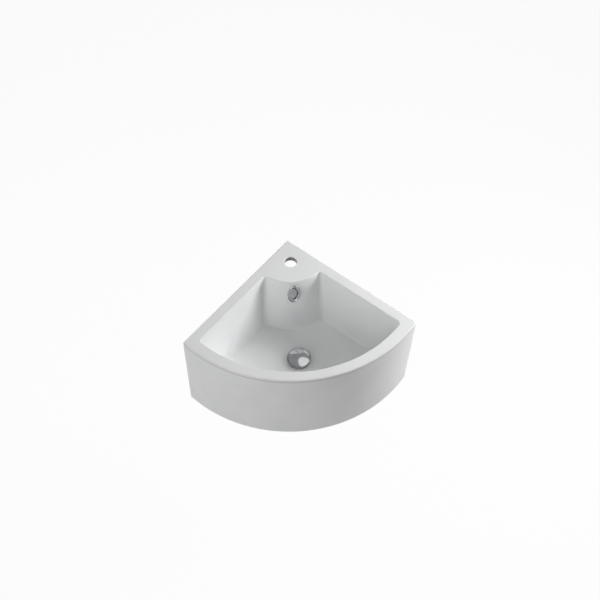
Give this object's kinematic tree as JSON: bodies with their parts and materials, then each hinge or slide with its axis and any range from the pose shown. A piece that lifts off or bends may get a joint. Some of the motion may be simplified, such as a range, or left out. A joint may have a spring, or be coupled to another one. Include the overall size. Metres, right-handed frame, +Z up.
{
  "type": "corner basin",
  "caption": "Wall-hung corner wash basin with a quarter-round front, a tap deck in the corner, an oval overflow cover and a domed click waste.",
  "frame": {"origin": "the corner of the two walls at the height of the basin's rim, which is the sharp back corner of the rim's plan", "axes": "+Z up. The curved front faces -Y. +X is to the right for someone who stands in front of it. X = 0 is the plane of symmetry and the walls run towards (-X, -Y) and (+X, -Y)"},
  "size_m": [0.618, 0.4556, 0.373],
  "materials": {
    "glaze": "gloss white glaze",
    "chrome": "polished",
    "brass": "turned",
    "black_rubber": "matt",
    "grey_rubber": "matt, slightly clear",
    "cream_plastic": "matt",
    "white_plastic": "matt",
    "spring_steel": "drawn wire"
  },
  "bodies": {
    "basin": {"basin_body": "glaze", "overflow_ring": "chrome", "overflow_cap": "chrome", "waste_body": "chrome", "flange_gasket": "black_rubber", "tapered_washer": "grey_rubber", "friction_ring": "cream_plastic", "back_nut": "brass", "tail_seal": "black_rubber", "tailpiece": "chrome", "cartridge_cup": "brass", "cartridge_lid": "brass", "cartridge_spring": "spring_steel"},
    "cap": {"waste_cap": "chrome", "cap_seal": "black_rubber", "plunger": "brass"},
    "cam": {"cartridge_cam": "white_plastic"}
  },
  "joints": [
    {"name": "cap_lift", "type": "slide", "parent": "basin", "child": "cap", "axis": [0, 0, 1], "range_m": [0, 0.009], "deforming": ["cartridge_spring"]},
    {"name": "cam_turn", "type": "hinge", "parent": "cap", "child": "cam", "pos_m": [0, -0.295, -0.1887], "axis": [0, 0, 1], "range_deg": [0, 45]}
  ],
  "couplings": [
    {"joint": "cam_turn", "follows": "cap_lift", "rad_per_m": 87.266}
  ]
}
